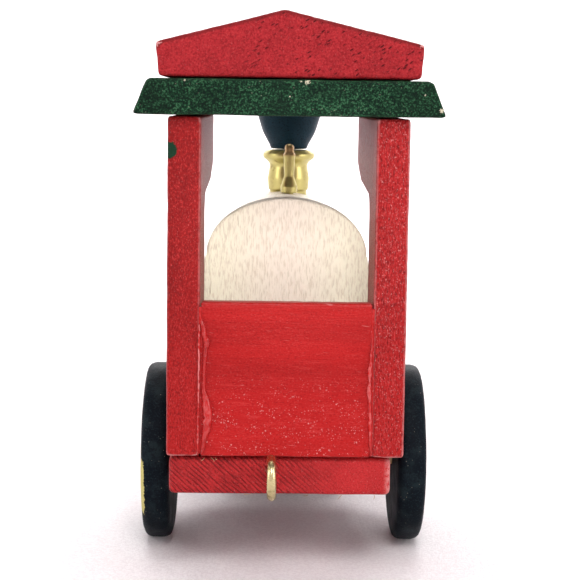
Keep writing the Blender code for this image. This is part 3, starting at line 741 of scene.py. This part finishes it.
def add_brushing(paint, panel):
    """Long level brush strokes, grain with painted glints and shade, pale scratches partly painted as
    highlights, and dust dried in low on the panel.
    """
    strokes = paint.clouds(0.34 * MM, (12, 8, 1), (0, math.radians(2), 0), 4.0)
    downward = paint.across(panel, "Z", 1.0, 0.35)
    marked = paint.times(paint.ramp(strokes, 0.55, 0.72), downward)
    paint.cover(marked, RED_LIGHT, 0.50)
    paint.raised(strokes, 0.11 * MM)
    # Grain: painted glints on its crests, and its hollows darker, partly painted shade
    grain = paint.clouds(0.20 * MM, (1.8, 1, 1), detail=2.0)
    paint.cover(paint.ramp(grain, 0.54, 0.80), PINK_GLINT, 0.08)
    paint.cover(paint.ramp(grain, 0.47, 0.32), RED_DEEP, 0.42)
    paint.raised(grain, 0.05 * MM)
    # Fine scratches in the glint colour: real marks, drawn pale as painted highlights
    hairs = paint.clouds(0.14 * MM, (22, 10, 1), (0, math.radians(7), 0), 0.0)
    paint.cover(paint.ramp(hairs, 0.79, 0.88), PINK_GLINT, 0.35)
    low_down = paint.across(panel, "Z", 0.62, 0.22)
    thinned = paint.ramp(paint.clouds(1.5 * MM, (1.6, 1, 1), detail=5.0, rough=0.65), 0.45, 0.58)
    where = paint.times(thinned, low_down)
    for cell, size in ((0.80 * MM, 0.20), (0.36 * MM, 0.25)):
        dust = paint.times(paint.ramp(paint.dots(cell), size, size * 0.5), where)
        paint.cover(dust, PINK_WEAR_AND_HIGHLIGHT, 0.85)
        paint.raised(dust, 0.05 * MM)


def green_paint(node):
    """Thick dark green paint, dry and granular, with painted shade in its pits and painted highlights on its
    grains, and chips along the top edge.
    """
    paint = Paint("roof_green", 0.6, specular=0.1)
    low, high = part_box(node)
    broad = paint.clouds(3 * MM, (1.5, 1, 1), detail=6.0, rough=0.7)
    paint.start(tuple(part * 0.6 for part in GREEN), GREEN, paint.ramp(broad, 0.38, 0.56))
    grains = paint.clouds(0.28 * MM, detail=2.0, rough=0.6)
    # Painted shade in the pits between the grains, and painted highlights on the grains
    paint.cover(paint.ramp(grains, 0.51, 0.43), GREEN_PIT_SHADE, 0.95)
    grain_highlight = paint.times(paint.ramp(grains, 0.54, 0.64), paint.ramp(broad, 0.36, 0.62, 0.35, 1.0))
    paint.cover(grain_highlight, GREEN_HIGHLIGHT_AND_WEAR, 0.80)
    flecks = paint.times(paint.ramp(paint.dots(0.62 * MM), 0.20, 0.08), paint.ramp(broad, 0.48, 0.62))
    paint.cover(flecks, CHIP, 0.22)
    paint.cover(paint.worn(0.55, 1.1 * MM), GREEN_HIGHLIGHT_AND_WEAR, 0.5)
    for share, drop, radius in ROOF_CHIPS:
        x = low.x + share * (high.x - low.x)
        chip = paint.near((x, low.y, high.z - drop * MM), radius * MM, 0.6)
        paint.cover(chip, CHIP, 0.9)
    paint.raised(broad, 0.12 * MM)
    paint.raised(grains, 0.20 * MM)
    paint.sheen(grains, 0.75, 0.5)
    return paint.done()


def cream_paint(name, node, grain):
    """Thin cream paint with wavy raised grain, pinker towards the middle, greyed at the edges."""
    paint = Paint(name, 0.5)
    inner = paint.times(paint.across(node, "X", 0.0, 0.5), paint.across(node, "X", 1.0, 0.5))
    paint.start(CREAM, CREAM_PINK, inner)
    ridges = paint.clouds(0.26 * MM, grain, detail=3.0, rough=0.55)
    paint.cover(paint.ramp(ridges, 0.54, 0.34), CREAM_DEEP, 0.60)
    pits = paint.ramp(paint.dots(1.6 * MM, grain), 0.09, 0.05)
    paint.cover(pits, CREAM_DEEP, 0.6)
    paint.cover(paint.worn(0.55, 0.8 * MM), CREAM_DEEP, 0.40)
    paint.raised(ridges, 0.22 * MM)
    paint.raised(paint.all_but(pits), 0.03 * MM)
    paint.sheen(ridges, 0.60, 0.42)
    return paint.done()


def add_gold_smear(paint, wheel, share):
    """Gold paint smeared over the outer rim of the left wheel, low at the rear."""
    low_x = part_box(wheel)[0].x
    middle_y = centre_of(wheel).y
    outer = paint.along("X", low_x + 1.5 * MM, low_x + 0.2 * MM)
    lower = paint.across(wheel, "Z", 0.68, 0.48)
    above = paint.across(wheel, "Z", 0.12, 0.30)
    rear = paint.along("Y", middle_y - 11 * MM, middle_y - 13 * MM)
    held = paint.times(paint.times(outer, lower), paint.times(above, rear))
    torn = paint.plus(held, paint.clouds(0.8 * MM, (1, 1, 1.6), detail=5.0, rough=0.75))
    paint.cover(paint.times(paint.ramp(torn, 1.12, 1.18), paint.ramp(held, 0.0, 0.1)), GOLD, share)


def navy_paint(name, node, axis, roughness=0.55, bloom_share=0.8, gold=0.0, base=NAVY):
    """Blue-black paint on turned wood: lathe rings, a mottled bloom and dust.

    gold is the strength of a smear of gold paint on the rim, for the left wheel.
    """
    paint = Paint(name, roughness, specular=0.07)
    bloom = paint.clouds(3 * MM, detail=4.0)
    paint.start(base, NAVY_LIGHT, paint.times(paint.ramp(bloom, 0.48, 0.72), bloom_share))
    rings = paint.clouds(0.25 * MM, place=paint.around(axis, centre_of(node)), detail=2.0)
    mottle = paint.clouds(0.30 * MM, detail=3.0)
    paint.cover(paint.ramp(mottle, 0.46, 0.32), NAVY_DEEP, 0.7)
    paint.cover(paint.ramp(mottle, 0.53, 0.68), NAVY_LIGHT, bloom_share)
    dust = paint.times(paint.ramp(paint.dots(0.8 * MM), 0.12, 0.06), paint.ramp(bloom, 0.4, 0.6))
    paint.cover(dust, CHIP, 0.30 * bloom_share)
    paint.cover(paint.worn(0.6), NAVY_LIGHT, 0.8)
    if gold:
        add_gold_smear(paint, node, gold)
    paint.raised(rings, 0.02 * MM)
    paint.raised(mottle, 0.06 * MM)
    paint.sheen(bloom, roughness + 0.12, roughness - 0.10)
    return paint.done()


def gold_paint(name, node, axis, tip=0.0):
    """Gold bronze paint on turned wood, thin and brown in the hollows. tip is a worn tan end, in metres."""
    roughness = 0.33
    paint = Paint(name, roughness, 0.85)
    pool = paint.clouds(1.4 * MM, detail=3.0)
    paint.start(GOLD_DEEP, GOLD, paint.ramp(pool, 0.24, 0.44))
    rings = paint.clouds(0.16 * MM, place=paint.around(axis, centre_of(node)), detail=2.0)
    flakes = paint.clouds(0.10 * MM, detail=2.0)
    paint.cover(paint.ramp(flakes, 0.62, 0.72), BRASS, 0.5)
    if tip:
        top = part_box(node)[1].z
        paint.cover(paint.along("Z", top - tip, top - 0.8 * tip), TAN, 0.8)
    paint.raised(rings, 0.008 * MM)
    paint.raised(pool, 0.03 * MM)
    paint.sheen(flakes, roughness + 0.10, roughness - 0.06)
    return paint.done()


def brass(name):
    """Drawn brass wire, a little tarnished, with fine draw lines and pits."""
    paint = Paint(name, 0.22, 1.0)
    tarnish = paint.clouds(1.1 * MM, detail=4.0)
    paint.start(BRASS, BRASS_DEEP, paint.ramp(tarnish, 0.52, 0.70))
    pits = paint.clouds(0.12 * MM, (1, 2, 2), detail=2.0)
    paint.cover(paint.ramp(pits, 0.66, 0.76), BRASS_DEEP, 0.6)
    paint.raised(pits, 0.01 * MM)
    paint.sheen(tarnish, 0.16, 0.38)
    return paint.done()


def bare_birch(name):
    """Unpainted birch dowel, its grain along X."""
    paint = Paint(name, 0.65)
    grain = paint.clouds(0.30 * MM, (12, 1, 1), detail=4.0)
    paint.start(BIRCH_DEEP, BIRCH, paint.ramp(grain, 0.34, 0.56))
    paint.raised(grain, 0.03 * MM)
    paint.sheen(grain, 0.75, 0.55)
    return paint.done()


def floor_paper():
    """A matt sweep of pale, slightly rosy paper."""
    paint = Paint("floor_paper", 0.9)
    tooth = paint.clouds(0.45 * MM, detail=4.0, rough=0.7)
    paint.start(PAPER, PAPER_DEEP, paint.ramp(tooth, 0.40, 0.60))
    paint.raised(tooth, 0.45 * MM)
    return paint.done()


# ---------------------------------------------------------------- the toy

def make_chassis():
    # The plank's red is painted paler, to make up for the shade under the cab
    plank = red_wood("plank_red", GRAIN_Y, base=RED_PLANK_LIT, glint=0.13, streak=0.45, depth=0.08 * MM)
    add_rings(plank, "chassis_plank")
    board("chassis_plank", "plank", plank.done(), 1, nick=0.2 * MM)
    board("axle_cap", "axle_saddle", red_wood("saddle_red", GRAIN_Y).done(), 2)


def make_fibres():
    """Torn wood fibres that stand off the plank's rear edges: three on the upper edge, the rest below."""
    draw = random.Random(7)
    low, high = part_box("chassis_plank")
    paint = bare_birch("fibre_birch")
    for i, share in enumerate((0.16, 0.19, 0.21, 0.34, 0.47, 0.63, 0.78, 0.93)):
        edge_z = high.z - 0.2 * MM if i < 3 else low.z + 0.1 * MM
        point = Vector((low.x + share * (high.x - low.x), low.y + 0.1 * MM, edge_z))
        heading = Vector((draw.uniform(-1, 1), -0.25, draw.uniform(-0.6, 0.3)))
        points = [point]
        for _ in range(6):
            heading += Vector([draw.uniform(-0.35, 0.35) for _ in range(3)])
            points.append(points[-1] + heading.normalized() * 0.16 * MM)
        radii = [(0.05 * MM * (1 - step / 9), 0.035 * MM) for step in range(len(points))]
        mesh = tube_mesh(points, radii, 6)
        place_piece(f"fibre_{i}", mesh, paint, body_of("chassis_plank"))


def make_screw_eye():
    """Bent brass wire: a shank in the plank, a bend at the neck, and a ring whose end stops by the shank."""
    low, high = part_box("screw_eye")
    wire = (high.x - low.x) / 2
    ring = (high.z - low.z) / 2 - wire
    x = low.x + wire
    y = low.y + wire + ring
    z = low.z + wire + ring
    neck = 1.2 * wire
    reach = math.sqrt(ring**2 + 2 * ring * neck)
    start = math.atan2(neck, reach)
    end = math.radians(338)
    sideways = 0.25 * wire
    neck_steps, ring_steps = 10, 72
    points = [Vector((x, high.y, z)), Vector((x, (high.y + y + reach) / 2, z))]
    for step in range(neck_steps):
        turn = (math.pi / 2 - start) * step / neck_steps
        points.append(Vector((x, y + reach - neck * math.sin(turn), z + neck * (1 - math.cos(turn)))))
    for step in range(ring_steps + 1):
        share = step / ring_steps
        turn = start + (end - start) * share
        drift = sideways * (2 * share * share - share)
        points.append(Vector((x + drift, y + ring * math.cos(turn), z + ring * math.sin(turn))))
    mesh = tube_mesh(points, [(wire, wire)] * len(points), 20)
    place_piece("eye", mesh, brass("eye_brass"), body_of("screw_eye"), ["screw_eye"])


def make_cab():
    fine = red_wood("left_side_red", (1, 1, 2), 0.22 * MM, 0.10 * MM,
                    glint=0.10, streak=0.62, gloss=0.38, rub=0.35, thin="cab_side_left")
    # Painted highlights along the post's rear edges
    add_edge_highlight(fine, "cab_side_left", "X", 1)
    add_edge_highlight(fine, "cab_side_left", "Z", -1)
    low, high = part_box("cab_side_left")
    blot = fine.near((low.x + 0.2 * MM, low.y, high.z - 5.4 * MM), 1.35 * MM, 0.10)
    fine.cover(blot, GREEN)
    fine.raised(blot, 0.08 * MM)
    board("cab_side_left", "side_left", fine.done(), 3)
    rough = red_wood("right_side_red", (1, 1, 3.5), 0.22 * MM, 0.16 * MM, RED_POST,
                     glint=0.30, streak=0.78, gloss=0.38, thin="cab_side_right")
    add_edge_highlight(rough, "cab_side_right", "X", -1)
    add_edge_highlight(rough, "cab_side_right", "X", 1, 0.5)
    add_edge_highlight(rough, "cab_side_right", "Z", -1)
    board("cab_side_right", "side_right", rough.done(), 4, nick=0.16 * MM)
    panel = red_wood("panel_red", BRUSHED_X, 0.30 * MM, 0.02 * MM, RED_PANEL,
                     glint=0.0, streak=0.08, gloss=0.36, rub=0.2, thin="rear_panel")
    add_brushing(panel, "rear_panel")
    board("rear_panel", "panel", panel.done(), 5, nick=0.06 * MM)
    arch = cream_paint("arch_cream", "cab_front_plate", (1, 1, 6))
    board("cab_front_plate", "arch", arch, 6)
    board("firebox_block", "firebox", red_wood("firebox_red", GRAIN_Y).done(), 7, 0.45 * MM)


def crest_paint(name, node, crest, pink):
    """Glossy thick paint, paler on its crest as a painted highlight, which stands crest metres off the
    board.

    pink is the strength of the painted glints on the crest.
    """
    paint = red_wood(name, (1, 1, 3), 0.4 * MM, 0.03 * MM, RED_PANEL,
                     glint=0.06, streak=0.3, gloss=0.20, rub=0.0)
    rear_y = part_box(node)[0].y
    # Painted highlight: the crest, furthest off the board, is paler, with painted glints on it
    out = paint.along("Y", rear_y - 0.45 * crest, rear_y - 0.95 * crest)
    paint.cover(out, RED_PAINTED_LIGHT, 0.5)
    flakes = paint.ramp(paint.clouds(0.5 * MM, (1, 1, 2), detail=3.0), 0.44, 0.58)
    paint.cover(paint.times(out, flakes), PINK_GLINT, pink)
    paint.shader.inputs["Coat Weight"].default_value = 0.4
    paint.shader.inputs["Coat Roughness"].default_value = 0.06
    return paint.done()


def make_panel_beads():
    """The thick paint in the corners between the rear panel and the two posts."""
    low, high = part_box("rear_panel")
    flat = red_wood("filler_red", GRAIN_Z, 0.3 * MM, 0.02 * MM, RED_PANEL).done()
    bead("filler_left", "rear_panel", EVEN_FILLER, low.x, flat, 1)
    bead("filler_right", "rear_panel", EVEN_FILLER, high.x, flat, 2)
    thin = crest_paint("bead_thin", "rear_panel", 0.35 * MM, 0.45)
    bead("bead_left_thin", "rear_panel", LEFT_THIN_BEAD, low.x, thin, 3)
    broad = crest_paint("bead_broad", "rear_panel", 0.9 * MM, 0.12)
    bead("bead_left_broad", "rear_panel", LEFT_BROAD_BEAD, low.x, broad, 4)
    right = crest_paint("bead_right", "rear_panel", 0.45 * MM, 0.22)
    bead("bead_right", "rear_panel", RIGHT_BEAD, high.x, right, 5)


def make_arch_fillers():
    """Cream paint that closes the joints between the arch and the cab's walls."""
    low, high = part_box("cab_front_plate")
    cream = cream_paint("arch_filler", "cab_front_plate", (1, 1, 4))
    bead("arch_filler_left", "cab_front_plate", ARCH_FILLER, low.x, cream, 6)
    bead("arch_filler_right", "cab_front_plate", ARCH_FILLER, high.x, cream, 7)


def make_roof():
    board("roof_board", "roof", green_paint("roof_board"), 8, 0.40 * MM, wave=0.07 * MM, nick=0.22 * MM)
    gable = red_wood("gable_red", (1, 6, 1), 0.30 * MM, 0.06 * MM, RED_GABLE,
                     glint=0.05, streak=0.50, gloss=0.5, rub=0.0)
    add_pores(gable, "roof_gable")
    board("roof_gable", "gable", gable.done(), 9, 0.40 * MM, nick=0.16 * MM)


def make_boiler():
    cream = cream_paint("boiler_cream", "boiler", (1, 6, 1))
    turned("boiler", "boiler_barrel", cream, 10, "Y")
    door = navy_paint("door_navy", "smokebox_door", "Y")
    turned("smokebox_door", "door", door, 11, "Y", 96, 0.3 * MM)
    knob = gold_paint("knob_gold", "smokebox_knob", "Y")
    turned("smokebox_knob", "door_knob", knob, 12, "Y", 48, 0.12 * MM, **SMALL_WEAR)
    base = gold_paint("stack_gold", "stack_base", "Z")
    turned("stack_base", "stack_foot", base, 13, "Z", 96, 0.25 * MM, wave=0.02 * MM, nick=0)
    cup = navy_paint("cup_navy", "stack_cup", "Z", roughness=0.36, bloom_share=0.1, base=NAVY_CUP)
    turned("stack_cup", "stack_bell", cup, 14, "Z", 96, 0.3 * MM, wave=0.02 * MM, nick=0.05 * MM)
    pin = gold_paint("whistle_gold", "steam_whistle", "Z", tip=2.6 * MM)
    turned("steam_whistle", "whistle", pin, 15, "Z", 40, 0.12 * MM, **SMALL_WEAR)


def make_wheels():
    for side, gold, wheel_seed, hub_seed in (("left", 0.9, 20, 34), ("right", 0.0, 21, 35)):
        node = "rear_wheel_" + side
        navy = navy_paint("wheel_navy_" + side, node, "X", gold=gold)
        turned(node, "wheel_" + side, navy, wheel_seed, "X", 192, 0.5 * MM, wave=0.06 * MM)
        node = "hub_cap_" + side
        gilt = gold_paint("hub_gold_" + side, node, "X")
        turned(node, "hub_" + side, gilt, hub_seed, "X", 48, 0.15 * MM, **SMALL_WEAR)
    birch = bare_birch("axle_birch")
    turned("rear_axle", "axle", birch, 22, "X", 48, 0.5 * MM, **SMALL_WEAR)


def make_front():
    head = red_wood("head_red", GRAIN_Y)
    board("steering_head", "saddle_block", head.done(), 23)
    board("fork_crown", "crown", red_wood("crown_red", GRAIN_X).done(), 24, 0.35 * MM)
    for side, seed in (("left", 29), ("right", 30)):
        cheek = red_wood("cheek_red_" + side, GRAIN_Z)
        board("fork_cheek_" + side, "cheek_" + side, cheek.done(), seed, 0.30 * MM)
    drum = navy_paint("drum_navy", "roller_drum", "X")
    turned("roller_drum", "drum", drum, 33, "X", 160, 0.45 * MM)
    spindle = gold_paint("spindle_gold", "roller_axle", "X")
    turned("roller_axle", "spindle", spindle, 34, "X", 40, 0.3 * MM, **SMALL_WEAR)
    screw = brass("pivot_brass")
    turned("pivot_screw", "king_screw", screw, 35, "Z", 48, 0.2 * MM, wave=0, nick=0)
    turned("pivot_washer", "washer", brass("washer_brass"), 36, "Z", 64, 0.2 * MM, wave=0, nick=0)


# ---------------------------------------------------------------- the studio

def make_camera():
    data = bpy.data.cameras.new("camera")
    data.sensor_width = SENSOR
    data.lens = LENS
    data.shift_y = CAMERA_SHIFT_Y
    data.clip_start = 0.01
    camera = bpy.data.objects.new("camera", data)
    bpy.context.scene.collection.objects.link(camera)
    camera.location = CAMERA_PLACE
    camera.rotation_mode = "QUATERNION"
    aim = Euler((math.pi / 2 + CAMERA_PITCH, 0, CAMERA_YAW)).to_quaternion()
    camera.rotation_quaternion = aim @ Quaternion((0, 0, 1), CAMERA_ROLL)
    bpy.context.scene.camera = camera


def make_sweep():
    """A pale floor that curves up into a round backdrop, which stands behind the toy from every side."""
    flat, bend, top = 0.60, 0.35, 0.80
    steps, bend_steps = 96, 12
    line = [(flat, 0.0)]
    for step in range(1, bend_steps + 1):
        turn = math.pi / 2 * step / bend_steps
        line.append((flat + bend * math.sin(turn), bend - bend * math.cos(turn)))
    line.append((flat + bend, top))
    shape = bmesh.new()
    middle = shape.verts.new((0, 0, 0))
    rings = []
    for radius, height in line:
        turns = [math.tau * step / steps for step in range(steps)]
        rings.append([shape.verts.new((radius * math.cos(t), radius * math.sin(t), height)) for t in turns])
    for step in range(steps):
        after = (step + 1) % steps
        shape.faces.new([middle, rings[0][step], rings[0][after]])
        for inner, outer in zip(rings, rings[1:]):
            shape.faces.new([inner[step], outer[step], outer[after], inner[after]])
    mesh = bpy.data.meshes.new("sweep")
    shape.to_mesh(mesh)
    shape.free()
    mesh.shade_smooth()
    mesh.materials.append(floor_paper())
    sweep = new_piece("sweep", mesh)
    sweep.location.z = CAD_BOX[0].z


def aim_light(name, data, place, target):
    light = bpy.data.objects.new(name, data)
    light.location = place
    light.rotation_mode = "QUATERNION"
    light.rotation_quaternion = (Vector(place) - Vector(target)).to_track_quat("Z", "Y")
    bpy.context.scene.collection.objects.link(light)


def add_softbox(name, place, target, size, watts):
    data = bpy.data.lights.new(name, "AREA")
    data.shape = "RECTANGLE"
    data.size, data.size_y = size
    data.energy = watts
    aim_light(name, data, place, target)


def add_snoot(name, place, target, radius, watts):
    """A narrow soft-edged beam through the cab's rear window onto the arch."""
    data = bpy.data.lights.new(name, "SPOT")
    data.energy = watts
    data.spot_size = 2 * math.atan(radius / (Vector(place) - Vector(target)).length)
    data.spot_blend = 0.3
    data.shadow_soft_size = 0.004
    aim_light(name, data, place, target)


def make_lights():
    """Soft light on the toy and the backdrop from all round, and a beam onto the arch."""
    middle = (CAD_BOX[0] + CAD_BOX[1]) / 2
    for name, place, size, watts in SOFTBOXES:
        add_softbox(name, place, middle, size, watts)
    add_softbox("back", BACK_PLACE, BACK_TARGET, BACK_SIZE, BACK_WATTS)
    low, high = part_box("cab_front_plate")
    arch = Vector(((low.x + high.x) / 2 + SNOOT_RIGHTWARD, low.y, high.z - SNOOT_BELOW_CROWN))
    add_snoot("snoot", SNOOT_PLACE, arch, SNOOT_RADIUS_SHARE * (high.x - low.x), SNOOT_WATTS)
    world = bpy.data.worlds.new("studio")
    world.use_nodes = True
    background = world.node_tree.nodes["Background"]
    background.inputs["Color"].default_value = (1, 1, 1, 1)
    background.inputs["Strength"].default_value = WORLD_STRENGTH
    bpy.context.scene.world = world
    bpy.context.scene.view_settings.view_transform = "Standard"


make_camera()
make_sweep()
make_lights()
make_chassis()
make_fibres()
make_screw_eye()
make_cab()
make_panel_beads()
make_arch_fillers()
make_roof()
make_boiler()
make_wheels()
make_front()
